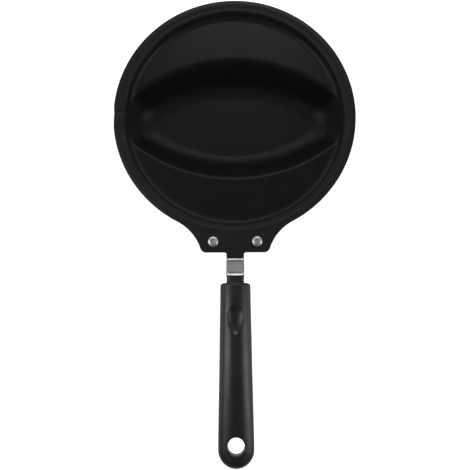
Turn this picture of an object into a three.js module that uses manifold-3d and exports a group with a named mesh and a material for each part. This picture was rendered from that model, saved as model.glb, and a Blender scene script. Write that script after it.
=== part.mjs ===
import * as THREE from 'three';
import { mergeVertices } from 'three/addons/utils/BufferGeometryUtils.js';
import Module from 'manifold-3d';

// An omelette pan: a round pressed dish with a boat-shaped well across it, on a moulded handle.
// Millimetres, +Z up. The origin is the centre of the well's flat underside, and the handle points to -Y.

const wasm = await Module();
wasm.setup();

// How finely curves are faceted
const latheSides = 64;
const roundSides = 24;
const chordTolerance = 0.06;
const fewestBendSteps = 2;

// Clearances
const seatGap = 0.3;
const overrun = 1;

// Pressed sheet of the pan
const panSheet = 2.5;
const rimRadius = 120;
const rimEdgeRadius = 0.8;
const rimWidth = 9.5;
const wallLean = THREE.MathUtils.degToRad(20.5);
const wallBendRadius = 3.5;
const dishDepth = 9.5;
const coveRadius = 6;

// Groove pressed round the flat rim
const grooveInset = 5;
const grooveHalfWidth = 1.5;
const grooveDepth = 0.9;
const grooveBendRadius = 0.8;

// Boat-shaped well: its wall meets the floor at the foot and the plate at the mouth
const wellDepth = 28;
const footHalfWidth = 40.4;
const footTipInset = 1;
const footTipRadius = 16;
const footFillet = 12;
const mouthHalfWidth = 60.3;
const mouthTipReach = 2.2;
const mouthTipRadius = 28.4;
const mouthFillet = 5;
const endFillet = 12;
const sideSteps = 12;
const tipSteps = 6;

// Shallow vent across the rim and the trimmed flat at its end
const ventHalfWidth = 2.8;
const ventDepth = 0.8;
const ventOffset = 2.4;
const rimFlatDepth = 0.6;

// Tab of the pan that carries the handle
const tabHalfWidth = 30.9;
const tabSideRadius = 47;
const tabLength = 16.4;
const tabCornerRadius = 6;
const tabSteps = 8;
const tongueHalfWidth = 8.3;
const tongueLength = 4.6;
const tongueFillet = 2.4;
const tongueCornerRadius = 0.6;

// Rivets
const rivetSpacing = 42.4;
const rivetInset = 10.4;
const rivetShankRadius = 2.9;
const rivetHeadRadius = 5.2;
const rivetHeadHeight = 2.2;
const rivetDishRadius = 3.3;
const rivetDishDepth = 0.5;
const rivetTailRadius = 4.6;
const rivetTailHeight = 1.7;

// Steel bracket: a plate under the tab, a channel strap that steps up, and a flat tang
const bracketSheet = 1.8;
const plateHalfWidth = 28;
const plateCornerRadius = 5;
const plateTabMargin = 4.4;
const strapHalfWidth = 8.3;
const strapHeight = 4.2;
const strapCornerRadius = 2.5;
const strapInnerRadius = 0.7;
const strapRise = 13;
const strapLead = 1.5;
const strapRun = 14;
const strapLanding = 2.9;
const strapFootBend = 4;
const strapHeadBend = 6.5;
const tangHalfWidth = 5;
const tangLength = 62;

// Moulded grip, along its own axis from the neck's front face
const gripSlope = THREE.MathUtils.degToRad(5);
const neckLength = 7;
const neckHalfWidth = 8.2;
const neckHalfHeight = 5.6;
const gripLength = 163;
const gripHalfWidth = 16.1;
const gripHeight = 21;
const gripFrontRadius = 3.5;
const gripEndRadius = 6;
const gripSectionPower = 2.5;
const neckSectionPower = 5;
const gripRingPoints = 32;
const gripFrontSteps = 4;
const gripBodySteps = 12;
const gripEndSteps = 5;

// Thumb rest sunk in the top of the grip
const thumbDistance = 34;
const thumbLength = 27.5;
const thumbHalfWidth = 8;
const thumbDepth = 2.2;
const thumbScoopHeight = 6;
const thumbTaperShare = 0.28;

// Hole that the pan hangs by
const hangInset = 19.2;
const hangRadius = 7.5;
const hangLipRadius = 1.4;

// Screw, washer and insert that hold the grip on the tang
const screwDistance = 14;
const screwRadius = 2;
const screwHeadRadius = 3.8;
const screwHeadHeight = 2.6;
const screwSocketRadius = 1.6;
const screwSocketDepth = 1.3;
const screwSeatDepth = 5.6;
const screwEngagement = 4.2;
const washerRadius = 4.4;
const washerThickness = 0.8;
const insertRadius = 3.6;
const insertLength = 5;
const insertWaistRadius = 3.1;
const insertWaistLength = 1.2;

// Heights and radii that follow
const floorTop = panSheet;
const plateTop = floorTop + wellDepth;
const rimTop = plateTop + dishDepth;
const tabUnderside = rimTop - panSheet;
const plateUnderside = tabUnderside - bracketSheet;
const wallRun = Math.tan(wallLean);
const wallTopRadius = rimRadius - rimWidth;
const grooveRadius = rimRadius - grooveInset;
const plateRadius = wallTopRadius - dishDepth * wallRun;
const endFootRadius = wallTopRadius - (dishDepth + wellDepth) * wallRun;
const footHalfLength = endFootRadius - footTipInset;
const mouthHalfLength = wallTopRadius + mouthTipReach;
const boreClearance = seatGap;

// Distances from the pan's axis along the handle
const tabEnd = rimRadius + tabLength;
const rivetDistance = tabEnd - rivetInset;
const strapFootDistance = tabEnd + tongueLength + strapLead;
const strapHeadDistance = strapFootDistance + strapRun;
const neckDistance = strapHeadDistance + strapLanding;
const hangDistance = gripLength - hangInset;

// Point on a line from the first corner towards the second, a given distance away
function stepTowards(from, to, distance) {
  return from.clone().add(to.clone().sub(from).setLength(distance));
}

// Steps that keep an arc's chords within the tolerance
function bendSteps(radius, turn) {
  const widest = 2 * Math.acos(1 - Math.min(chordTolerance / radius, 1));
  return Math.max(Math.ceil(Math.abs(turn) / widest), fewestBendSteps);
}

// Polyline through corners [x, y, radius], each corner rounded by a tangent arc
function roundedPath(corners) {
  const points = [];
  corners.forEach(([x, y, radius = 0], i) => {
    const corner = new THREE.Vector2(x, y);
    const before = corners[i - 1];
    const after = corners[i + 1];
    if (!radius || !before || !after) {
      points.push(corner);
      return;
    }
    const last = new THREE.Vector2(before[0], before[1]);
    const next = new THREE.Vector2(after[0], after[1]);
    const incoming = corner.clone().sub(last).angle();
    let turn = next.clone().sub(corner).angle() - incoming;
    turn = Math.atan2(Math.sin(turn), Math.cos(turn));
    const start = stepTowards(corner, last, radius * Math.tan(Math.abs(turn) / 2));
    const side = Math.sign(turn);
    const centre = start.clone().add(
      new THREE.Vector2(-Math.sin(incoming), Math.cos(incoming)).multiplyScalar(side * radius));
    const spoke = start.clone().sub(centre);
    const steps = bendSteps(radius, turn);
    for (let k = 0; k <= steps; k++) {
      points.push(spoke.clone().rotateAround(new THREE.Vector2(), (turn * k) / steps).add(centre));
    }
  });
  return points;
}

// The same corners moved sideways by a distance, to the right of the way that they run
function offsetCorners(corners, distance) {
  return corners.map(([x, y, radius = 0], i) => {
    const here = new THREE.Vector2(x, y);
    const before = corners[i - 1] ?? corners[i];
    const after = corners[i + 1] ?? corners[i];
    const incoming = here.clone().sub(new THREE.Vector2(before[0], before[1]));
    const outgoing = new THREE.Vector2(after[0], after[1]).sub(here);
    const first = incoming.lengthSq() ? incoming.angle() : outgoing.angle();
    const second = outgoing.lengthSq() ? outgoing.angle() : first;
    const turn = Math.atan2(Math.sin(second - first), Math.cos(second - first));
    const middle = first + turn / 2;
    const reach = distance / Math.cos(turn / 2);
    const rounder = radius + Math.sign(turn) * distance;
    return [x + Math.sin(middle) * reach, y - Math.cos(middle) * reach, radius ? Math.max(rounder, 0) : 0];
  });
}

// A closed geometry as a solid: shared vertices merged and flat triangles dropped
function toSolid(geometry) {
  const bare = geometry.clone();
  bare.deleteAttribute('normal');
  bare.deleteAttribute('uv');
  const merged = mergeVertices(bare);
  const index = merged.index.array;
  const kept = [];
  for (let i = 0; i < index.length; i += 3) {
    const [a, b, c] = [index[i], index[i + 1], index[i + 2]];
    if (a !== b && b !== c && c !== a) kept.push(a, b, c);
  }
  return new wasm.Manifold(new wasm.Mesh({
    numProp: 3,
    vertProperties: new Float32Array(merged.attributes.position.array),
    triVerts: new Uint32Array(kept),
  }));
}

// A solid as a geometry for a mesh
function toGeometry(solid) {
  const { vertProperties, triVerts } = solid.getMesh();
  const geometry = new THREE.BufferGeometry();
  geometry.setAttribute('position', new THREE.BufferAttribute(new Float32Array(vertProperties), 3));
  geometry.setIndex(new THREE.BufferAttribute(new Uint32Array(triVerts), 1));
  geometry.computeVertexNormals();
  return geometry;
}

// Profile of [radius, height] points turned about the Z axis, from the lowest point on the axis outwards
function revolve(points, sides = latheSides) {
  return toSolid(new THREE.LatheGeometry(points, sides).rotateX(Math.PI / 2));
}

// Upright prism of a closed outline
function prism(outline, bottom, top) {
  const shape = new THREE.Shape(outline);
  const geometry = new THREE.ExtrudeGeometry(shape, { depth: top - bottom, bevelEnabled: false });
  return toSolid(geometry.translate(0, 0, bottom));
}

// Upright cylinder
function post(radius, bottom, top, sides = roundSides) {
  const geometry = new THREE.CylinderGeometry(radius, radius, top - bottom, sides).rotateX(Math.PI / 2);
  return toSolid(geometry.translate(0, 0, (top + bottom) / 2));
}

// Skin through rings of equal point counts; capOutline is the first ring laid flat, anticlockwise
function loft(rings, capOutline) {
  const count = rings[0].length;
  const position = rings.flat().flatMap((p) => [p.x, p.y, p.z]);
  const index = [];
  for (let r = 0; r + 1 < rings.length; r++) {
    for (let k = 0; k < count; k++) {
      const a = r * count + k;
      const b = r * count + ((k + 1) % count);
      index.push(a, b, b + count, a, b + count, a + count);
    }
  }
  const lastRing = (rings.length - 1) * count;
  for (const [a, b, c] of THREE.ShapeUtils.triangulateShape(capOutline, [])) {
    index.push(a, c, b, lastRing + a, lastRing + b, lastRing + c);
  }
  const geometry = new THREE.BufferGeometry();
  geometry.setAttribute('position', new THREE.Float32BufferAttribute(position, 3));
  geometry.setIndex(index);
  return toSolid(geometry);
}

// Points of an arc from one angle to another, ends included
function arcPoints(centreX, centreY, radius, from, to, steps) {
  return Array.from({ length: steps + 1 }, (_, k) => {
    const angle = from + ((to - from) * k) / steps;
    return new THREE.Vector2(centreX + radius * Math.cos(angle), centreY + radius * Math.sin(angle));
  });
}

// Boat outline of two long side arcs and two tip arcs that meet tangent, anticlockwise
function boatOutline(halfLength, halfWidth, tipRadius) {
  const tipCentre = halfLength - tipRadius;
  const sideRadius = (tipCentre ** 2 + halfWidth ** 2 - tipRadius ** 2) / (2 * (halfWidth - tipRadius));
  const drop = sideRadius - halfWidth;
  const meet = Math.atan2(drop, tipCentre);
  const right = arcPoints(tipCentre, 0, tipRadius, -meet, meet, tipSteps);
  const top = arcPoints(0, -drop, sideRadius, meet, Math.PI - meet, sideSteps);
  const half = [...right.slice(0, -1), ...top.slice(0, -1)];
  return [...half, ...half.map((p) => new THREE.Vector2(-p.x, -p.y))];
}

// Boat outline at one half-width of the well's wall, between its foot and its mouth
function wellOutline(halfWidth) {
  const share = (halfWidth - footHalfWidth) / (mouthHalfWidth - footHalfWidth);
  const halfLength = THREE.MathUtils.lerp(footHalfLength, mouthHalfLength, share);
  const tipRadius = THREE.MathUtils.lerp(footTipRadius, mouthTipRadius, share);
  return boatOutline(halfLength, halfWidth, tipRadius);
}

// The well's boat, from its floor up to a height, on the sheet's inner face or one sheet outside it
function wellBoat(offset, top) {
  const lip = mouthHalfWidth + mouthFillet;
  const corners = offsetCorners([
    [0, floorTop],
    [footHalfWidth, floorTop, footFillet],
    [mouthHalfWidth, plateTop, mouthFillet],
    [lip, plateTop],
  ], offset);
  const wall = roundedPath(corners).slice(1, -1);
  wall.push(new THREE.Vector2(wall.at(-1).x, top));
  const rings = wall.map(({ x, y }) => wellOutline(x).map((p) => new THREE.Vector3(p.x, p.y, y)));
  return loft(rings, wellOutline(wall[0].x));
}

// Bowl that the dish wall belongs to, from a flat floor up to a height
function bowl(footRadius, fillet, floor, offset, top) {
  const corners = offsetCorners([
    [0, floor],
    [footRadius, floor, fillet],
    [wallTopRadius, rimTop, wallBendRadius],
    [rimRadius, rimTop],
  ], offset);
  const profile = roundedPath(corners).slice(0, -1);
  profile.push(new THREE.Vector2(profile.at(-1).x, top), new THREE.Vector2(0, top));
  return revolve(profile);
}

// The rim's groove as corners across the flat rim, on its top face
function grooveCorners() {
  return [
    [grooveRadius - grooveHalfWidth, rimTop, grooveBendRadius],
    [grooveRadius, rimTop - grooveDepth, grooveBendRadius],
    [grooveRadius + grooveHalfWidth, rimTop, grooveBendRadius],
  ];
}

// The pan's outside: dish, wall and rim, solid up to the rim's top face
function panBlank() {
  const face = [
    [0, plateTop],
    [plateRadius, plateTop, coveRadius],
    [wallTopRadius, rimTop, wallBendRadius],
    ...grooveCorners(),
    [rimRadius, rimTop],
  ];
  const underside = offsetCorners(face, panSheet);
  underside.at(-1)[2] = rimEdgeRadius;
  const upperside = [[rimRadius, rimTop, rimEdgeRadius], ...grooveCorners().reverse(), [0, rimTop]];
  return revolve(roundedPath([...underside, ...upperside]));
}

// Plan of the tab and its tongue, from inside the rim outwards
function tabOutline() {
  const sideX = tabHalfWidth + tabSideRadius;
  const sideY = -Math.sqrt((rimRadius + tabSideRadius) ** 2 - sideX ** 2);
  const rimAngle = Math.atan2(-sideY, -sideX);
  const endAngle = Math.PI - Math.asin(THREE.MathUtils.clamp((-tabEnd - sideY) / tabSideRadius, -1, 1));
  const side = arcPoints(sideX, sideY, tabSideRadius, rimAngle, endAngle, tabSteps);
  const inner = grooveRadius + grooveHalfWidth + rimEdgeRadius;
  const innerSpread = Math.atan2(side[0].x, -side[0].y);
  const innerArc = arcPoints(0, 0, inner, -Math.PI / 2 + innerSpread, -Math.PI / 2, tabSteps).slice(0, -1);
  const tongueEnd = -tabEnd - tongueLength;
  const end = roundedPath([
    [side.at(-2).x, side.at(-2).y],
    [side.at(-1).x, -tabEnd, tabCornerRadius],
    [tongueHalfWidth, -tabEnd, tongueFillet],
    [tongueHalfWidth, tongueEnd, tongueCornerRadius],
    [0, tongueEnd],
  ]).slice(1, -1);
  const right = [...innerArc.reverse(), ...side.slice(0, -1), ...end];
  const left = right.map((p) => new THREE.Vector2(-p.x, p.y)).reverse();
  return [new THREE.Vector2(0, -inner), ...right, ...left];
}

// Round bar laid across the rim that cuts the vent
function ventCutter() {
  const radius = (ventHalfWidth ** 2 + ventDepth ** 2) / (2 * ventDepth);
  const length = rimRadius - wallTopRadius + 2 * overrun;
  const bar = new THREE.CylinderGeometry(radius, radius, length, roundSides).rotateZ(Math.PI / 2);
  return toSolid(bar.translate(-wallTopRadius - length / 2 + overrun, ventOffset, rimTop - ventDepth + radius));
}

// Block that trims the rim's edge flat beside the vent
function rimFlatCutter() {
  const reach = 2 * Math.sqrt(rimRadius ** 2 - (rimRadius - rimFlatDepth) ** 2);
  const block = new THREE.BoxGeometry(rimFlatDepth + overrun, reach, panSheet + 2 * overrun);
  return toSolid(block.translate(-rimRadius + (rimFlatDepth - overrun) / 2, 0, rimTop - panSheet / 2));
}

// Rivet places either side of the handle
const rivetPlaces = [-1, 1].map((side) => ({
  name: side < 0 ? 'rivet_left' : 'rivet_right',
  x: (side * rivetSpacing) / 2,
  y: -rivetDistance,
}));

// Holes for the rivet shanks between two heights
function rivetHoles(bottom, top) {
  const holes = rivetPlaces.map(({ x, y }) => (
    post(rivetShankRadius + boreClearance, bottom - overrun, top + overrun).translate([x, y, 0])));
  return holes[0].add(holes[1]);
}

function panBody() {
  const wellShell = wellBoat(panSheet, tabUnderside)
    .intersect(bowl(endFootRadius, endFillet, floorTop, panSheet, tabUnderside));
  const wellSpace = wellBoat(0, rimTop + overrun)
    .intersect(bowl(endFootRadius, endFillet, floorTop, 0, rimTop + overrun));
  const dishSpace = bowl(plateRadius, coveRadius, plateTop, 0, rimTop + overrun);
  return panBlank()
    .add(prism(tabOutline(), tabUnderside, rimTop))
    .add(wellShell)
    .subtract(dishSpace)
    .subtract(wellSpace)
    .subtract(ventCutter())
    .subtract(rimFlatCutter())
    .subtract(rivetHoles(tabUnderside, rimTop));
}

// Rivet about its own axis, with its head's underside at zero
function rivet() {
  const grip = panSheet + bracketSheet;
  const profile = roundedPath([
    [0, -grip - rivetTailHeight],
    [rivetTailRadius, -grip - rivetTailHeight, rivetTailHeight / 2],
    [rivetTailRadius, -grip],
    [rivetShankRadius, -grip],
    [rivetShankRadius, 0],
    [rivetHeadRadius, 0],
    [rivetHeadRadius, rivetHeadHeight, rivetHeadHeight / 2],
    [rivetDishRadius, rivetHeadHeight],
    [rivetDishRadius - rivetDishDepth, rivetHeadHeight - rivetDishDepth],
    [0, rivetHeadHeight - rivetDishDepth],
  ]);
  return revolve(profile, roundSides);
}

// Centre line of the strap's top face as [distance from the pan's axis, height] corners
function strapCorners() {
  const headHeight = tabUnderside + strapRise;
  const run = neckDistance - strapHeadDistance;
  return [
    [rivetDistance, tabUnderside],
    [strapFootDistance, tabUnderside, strapFootBend],
    [strapHeadDistance, headHeight, strapHeadBend],
    [neckDistance, headHeight + run * Math.tan(gripSlope)],
  ];
}

// Channel section of the strap, top face at zero, anticlockwise
function strapSection() {
  const innerHalfWidth = strapHalfWidth - bracketSheet;
  return roundedPath([
    [-innerHalfWidth, -strapHeight],
    [-innerHalfWidth, -bracketSheet, strapInnerRadius],
    [innerHalfWidth, -bracketSheet, strapInnerRadius],
    [innerHalfWidth, -strapHeight],
    [strapHalfWidth, -strapHeight],
    [strapHalfWidth, 0, strapCornerRadius],
    [-strapHalfWidth, 0, strapCornerRadius],
    [-strapHalfWidth, -strapHeight],
  ]);
}

// Strap swept along its bent line, shortened to leave the seat gap at the neck
function strap() {
  const line = roundedPath(strapCorners());
  line.push(stepTowards(line.pop(), line.at(-1), seatGap));
  const section = strapSection();
  const rings = line.map((point, i) => {
    const along = (line[i + 1] ?? point).clone().sub(line[i - 1] ?? point).normalize();
    return section.map((p) => new THREE.Vector3(
      p.x, -(point.x - along.y * p.y), point.y + along.x * p.y));
  });
  return loft(rings, section);
}

// Where the grip's axis meets the neck's front face
const handleOrigin = new THREE.Vector3(
  0,
  -neckDistance - (strapHeight / 2) * Math.sin(gripSlope),
  strapCorners().at(-1)[1] - (strapHeight / 2) * Math.cos(gripSlope),
);
const handleTilt = new THREE.Euler(-gripSlope, 0, 0);
const tangTop = strapHeight / 2;
const tangBottom = tangTop - bracketSheet;

// A solid made about the grip's axis, moved to its place on the pan
function placeOnHandle(solid) {
  const matrix = new THREE.Matrix4().makeRotationFromEuler(handleTilt).setPosition(handleOrigin);
  return solid.transform(matrix.elements);
}

// Box about the grip's axis between two distances behind the neck's face
function handleBox(halfWidth, front, back, bottom, top) {
  const box = new THREE.BoxGeometry(2 * halfWidth, back - front, top - bottom);
  return toSolid(box.translate(0, -(front + back) / 2, (bottom + top) / 2));
}

function bracket() {
  const beadOuter = grooveRadius + 2 * grooveHalfWidth + seatGap;
  const plateBack = tabEnd - plateTabMargin;
  const plate = prism(roundedPath([
    [0, -plateBack],
    [plateHalfWidth, -plateBack, plateCornerRadius],
    [plateHalfWidth, -beadOuter, plateCornerRadius],
    [-plateHalfWidth, -beadOuter, plateCornerRadius],
    [-plateHalfWidth, -plateBack, plateCornerRadius],
  ]), plateUnderside, tabUnderside);
  const tang = handleBox(tangHalfWidth, -2 * seatGap, tangLength, tangBottom, tangTop)
    .subtract(post(screwRadius + boreClearance, tangBottom - overrun, tangTop + overrun)
      .translate([0, -screwDistance, 0]));
  return plate
    .add(strap())
    .add(placeOnHandle(tang))
    .subtract(rivetHoles(plateUnderside, tabUnderside));
}

// Grip's width, top and underside along its length, as shares of its length, half-width and height
const gripShares = [
  [0, 0.875, 0.43, 0.44],
  [0.12, 0.888, 0.45, 0.49],
  [0.3, 0.915, 0.46, 0.54],
  [0.5, 0.938, 0.44, 0.51],
  [0.7, 0.972, 0.39, 0.41],
  [0.87, 0.995, 0.35, 0.32],
  [1, 1, 0.32, 0.3],
];

// Smooth value of one column of the grip's shares at a share of its length
function gripShare(column, share) {
  const points = gripShares.map((row) => new THREE.Vector3(row[0], row[column], 0));
  const last = points.length - 1;
  const k = Math.min(points.findLastIndex((p) => p.x <= share), last - 1);
  const t = (share - points[k].x) / (points[k + 1].x - points[k].x);
  return THREE.MathUtils.lerp(points[k].y, points[k + 1].y, THREE.MathUtils.smoothstep(t, 0, 1));
}

// How far a rounded edge has drawn in at a distance from its end
function edgeInset(distance, radius) {
  const left = Math.max(radius - distance, 0);
  return radius - Math.sqrt(radius ** 2 - left ** 2);
}

// Cross-section ring of the grip: a rounded, nearly elliptical outline, anticlockwise seen from its end
function gripRing(distance, halfWidth, top, bottom, power) {
  return Array.from({ length: gripRingPoints }, (_, k) => {
    const angle = (2 * Math.PI * k) / gripRingPoints;
    const [c, s] = [Math.cos(angle), Math.sin(angle)];
    const height = s > 0 ? top : bottom;
    return new THREE.Vector3(
      halfWidth * Math.sign(c) * Math.abs(c) ** (2 / power),
      -distance,
      height * Math.sign(s) * Math.abs(s) ** (2 / power),
    );
  });
}

// Ring of the grip's body at a distance behind its front face
function gripBodyRing(distance) {
  const share = distance / gripLength;
  const endLeft = gripLength - distance;
  const roundEnd = Math.sqrt(Math.max(1 - (Math.max(gripHalfWidth - endLeft, 0) / gripHalfWidth) ** 2, 0));
  const front = edgeInset(distance, gripFrontRadius);
  const end = edgeInset(endLeft, gripEndRadius);
  const halfWidth = gripShare(1, share) * gripHalfWidth * roundEnd - front;
  const top = gripShare(2, share) * gripHeight - front - end;
  const bottom = gripShare(3, share) * gripHeight - front - end;
  return gripRing(neckLength + distance, halfWidth, top, bottom, gripSectionPower);
}

// Distances of the grip's rings: close together in the rounded front and end
function gripDistances() {
  const quarter = (k, steps) => (Math.PI / 2) * (k / steps);
  const front = Array.from({ length: gripFrontSteps }, (_, k) => (
    gripFrontRadius * (1 - Math.cos(quarter(k, gripFrontSteps)))));
  const bodyEnd = gripLength - gripHalfWidth;
  const body = Array.from({ length: gripBodySteps }, (_, k) => (
    THREE.MathUtils.lerp(gripFrontRadius, bodyEnd, k / gripBodySteps)));
  const end = Array.from({ length: gripEndSteps }, (_, k) => (
    bodyEnd + gripHalfWidth * Math.sin(quarter(k, gripEndSteps))));
  return [...front, ...body, ...end];
}

// Teardrop scoop that sinks the thumb rest, wide towards the pan
function thumbScoop() {
  const cut = Math.sqrt(1 - ((thumbScoopHeight - thumbDepth) / thumbScoopHeight) ** 2);
  const scoop = new THREE.SphereGeometry(1, roundSides, roundSides / 2);
  scoop.scale(thumbHalfWidth / cut, thumbLength / 2 / cut, thumbScoopHeight);
  const position = scoop.attributes.position;
  for (let i = 0; i < position.count; i++) {
    const along = position.getY(i) / (thumbLength / 2);
    position.setX(i, position.getX(i) * (1 + thumbTaperShare * along));
  }
  const surface = gripShare(2, (thumbDistance) / gripLength) * gripHeight;
  return toSolid(scoop.translate(
    0, -(neckLength + thumbDistance), surface - thumbDepth + thumbScoopHeight));
}

// Spool that cuts the hanging hole with both its mouths rounded
function hangCutter() {
  const share = hangDistance / gripLength;
  const top = gripShare(2, share) * gripHeight;
  const bottom = -gripShare(3, share) * gripHeight;
  const wide = hangRadius + hangLipRadius + overrun;
  const spool = revolve(roundedPath([
    [0, bottom - overrun],
    [wide, bottom - overrun],
    [wide, bottom],
    [hangRadius, bottom, hangLipRadius],
    [hangRadius, top, hangLipRadius],
    [wide, top],
    [wide, top + overrun],
    [0, top + overrun],
  ]), roundSides);
  return spool.translate([0, -(neckLength + hangDistance), 0]);
}

function grip() {
  const neck = [0, neckLength].map((distance) => (
    gripRing(distance, neckHalfWidth, neckHalfHeight, neckHalfHeight, neckSectionPower)));
  const rings = [...neck, ...gripDistances().map(gripBodyRing)];
  const cap = rings[0].map((p) => new THREE.Vector2(p.x, p.z));
  const slot = handleBox(tangHalfWidth + seatGap, -overrun, tangLength + seatGap,
    tangBottom - seatGap, tangTop + seatGap);
  const screwAt = [0, -screwDistance, 0];
  const pocketTop = tangTop + 3 * seatGap + insertLength;
  const pocket = post(insertRadius + seatGap, tangTop, pocketTop).translate(screwAt);
  const shankHole = post(screwRadius + boreClearance, -gripHeight, tangTop).translate(screwAt);
  const counterbore = post(washerRadius + seatGap, -gripHeight, -screwSeatDepth).translate(screwAt);
  return loft(rings, cap)
    .subtract(slot)
    .subtract(pocket)
    .subtract(shankHole)
    .subtract(counterbore)
    .subtract(thumbScoop())
    .subtract(hangCutter());
}

// Screw about its own axis, driven upwards: socket, head, shank
function screw() {
  const headTop = -screwSeatDepth - washerThickness - 2 * seatGap;
  const headBottom = headTop - screwHeadHeight;
  const tip = tangTop + seatGap + screwEngagement;
  const socketTop = headBottom + screwSocketDepth;
  return revolve(roundedPath([
    [0, socketTop],
    [screwSocketRadius, socketTop],
    [screwSocketRadius, headBottom],
    [screwHeadRadius, headBottom, screwHeadHeight / 2],
    [screwHeadRadius, headTop],
    [screwRadius, headTop],
    [screwRadius, tip, screwRadius / 2],
    [0, tip],
  ]), roundSides);
}

function washer() {
  const top = -screwSeatDepth - seatGap;
  const ring = post(washerRadius, top - washerThickness, top);
  return ring.subtract(post(screwRadius + boreClearance, top - washerThickness - overrun, top + overrun));
}

// Threaded insert with a waist that the moulding grips
function threadedInsert() {
  const bottom = tangTop + 2 * seatGap;
  const middle = bottom + insertLength / 2;
  const bore = screwRadius + boreClearance;
  return revolve([
    [bore, bottom],
    [insertRadius, bottom],
    [insertRadius, middle - insertWaistLength / 2],
    [insertWaistRadius, middle - insertWaistLength / 2],
    [insertWaistRadius, middle + insertWaistLength / 2],
    [insertRadius, middle + insertWaistLength / 2],
    [insertRadius, bottom + insertLength],
    [bore, bottom + insertLength],
    [bore, bottom],
  ].map(([x, y]) => new THREE.Vector2(x, y)), roundSides);
}

const nonStick = new THREE.MeshStandardMaterial({ color: 0x232324, roughness: 0.55, metalness: 0.1 });
const aluminium = new THREE.MeshStandardMaterial({ color: 0xb9bbbd, roughness: 0.35, metalness: 1 });
const steel = new THREE.MeshStandardMaterial({ color: 0xa9a9a8, roughness: 0.3, metalness: 1 });
const phenolic = new THREE.MeshStandardMaterial({ color: 0x1b1b1c, roughness: 0.4, metalness: 0 });
const brass = new THREE.MeshStandardMaterial({ color: 0xb08d45, roughness: 0.4, metalness: 1 });

function named(name, solid, material) {
  const mesh = new THREE.Mesh(toGeometry(solid), material);
  mesh.name = name;
  return mesh;
}

const pan = new THREE.Group();
pan.add(named('pan_body', panBody(), nonStick));
pan.add(named('handle_bracket', bracket(), steel));
for (const { name, x, y } of rivetPlaces) {
  const mesh = named(name, rivet(), aluminium);
  mesh.position.set(x, y, rimTop);
  pan.add(mesh);
}

const handle = new THREE.Group();
handle.position.copy(handleOrigin);
handle.rotation.copy(handleTilt);
handle.add(named('handle_grip', grip(), phenolic));
const fastening = new THREE.Group();
fastening.position.y = -screwDistance;
fastening.add(named('grip_screw', screw(), steel));
fastening.add(named('screw_washer', washer(), steel));
fastening.add(named('threaded_insert', threadedInsert(), brass));
handle.add(fastening);
pan.add(handle);

export default pan;
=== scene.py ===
import bpy
import numpy as np
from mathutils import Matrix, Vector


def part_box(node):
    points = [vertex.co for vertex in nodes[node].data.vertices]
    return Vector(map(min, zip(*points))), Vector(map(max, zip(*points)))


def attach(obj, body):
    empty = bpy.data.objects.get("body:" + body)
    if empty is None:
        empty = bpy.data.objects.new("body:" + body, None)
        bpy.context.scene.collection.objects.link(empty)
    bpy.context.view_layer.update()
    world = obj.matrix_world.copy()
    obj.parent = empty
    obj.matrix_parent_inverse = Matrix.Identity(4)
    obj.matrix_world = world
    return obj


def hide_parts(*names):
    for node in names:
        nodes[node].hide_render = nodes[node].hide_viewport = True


# Omelette pan on a white table: a pressed non-stick pan, a steel strap and a moulded grip.
# Shapes are worked out in millimetres, +Z up with the handle to -Y, and stored in metres.

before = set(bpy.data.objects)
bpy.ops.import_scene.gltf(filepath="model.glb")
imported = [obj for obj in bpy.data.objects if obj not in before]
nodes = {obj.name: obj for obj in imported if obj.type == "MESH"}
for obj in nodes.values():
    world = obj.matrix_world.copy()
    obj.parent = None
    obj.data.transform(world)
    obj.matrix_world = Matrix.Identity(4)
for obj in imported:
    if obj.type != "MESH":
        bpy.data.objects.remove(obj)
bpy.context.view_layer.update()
mm = 0.001
print("frame loaded:", ", ".join(sorted(nodes)))


# sRGB hex value as a linear colour: each channel goes through the sRGB curve
def linearColour(hexValue):
    channels = np.array([hexValue >> 16, hexValue >> 8 & 255, hexValue & 255]) / 255
    linear = np.where(channels <= 0.04045, channels / 12.92, ((channels + 0.055) / 1.055) ** 2.4)
    return (*linear.tolist(), 1.0)


# 0 below low and 1 above high, with 3 t squared less 2 t cubed between them
def smoothStep(low, high, value):
    t = np.clip((value - low) / (high - low), 0, 1)
    return t * t * (3 - 2 * t)


# The larger of two values, raised by a parabola where they are closer than the width
def smoothMax(a, b, width):
    return np.maximum(a, b) + np.maximum(width - np.abs(a - b), 0) ** 2 / (4 * width)


# Vectors divided by their lengths
def unit(vector):
    return vector / np.linalg.norm(vector, axis=-1, keepdims=True)


# How far a rounded edge has drawn in at a distance from its end
def edgeInset(distance, radius):
    return radius - np.sqrt(np.maximum(radius ** 2 - np.maximum(radius - distance, 0) ** 2, 0))


# Angles of the rows of an edge rounded through a right angle
quarterTurn = np.linspace(0, np.pi / 2, 5)


# Polyline through corners (x, y, radius): each corner turns on the arc that touches both its runs
def roundedPath(corners, stepDegrees=4):
    spots = np.array([corner[:2] for corner in corners], float)
    path = [spots[:1]]
    for i in range(1, len(corners) - 1):
        radius = corners[i][2]
        back, ahead = unit(spots[i - 1] - spots[i]), unit(spots[i + 1] - spots[i])
        half = np.arccos(np.clip(back @ ahead, -1, 1)) / 2
        centre = spots[i] + unit(back + ahead) * radius / np.sin(half)
        spoke = spots[i] + back * radius / np.tan(half) - centre
        turn = (np.pi - 2 * half) * -np.sign(back[0] * ahead[1] - back[1] * ahead[0])
        steps = int(np.degrees(abs(turn)) / stepDegrees) + 2 if radius else 1
        angle = np.linspace(0, turn, steps)
        path.append(centre + np.stack([spoke[0] * np.cos(angle) - spoke[1] * np.sin(angle),
                                       spoke[0] * np.sin(angle) + spoke[1] * np.cos(angle)], 1))
    return np.concatenate([*path, spots[-1:]])


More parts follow.
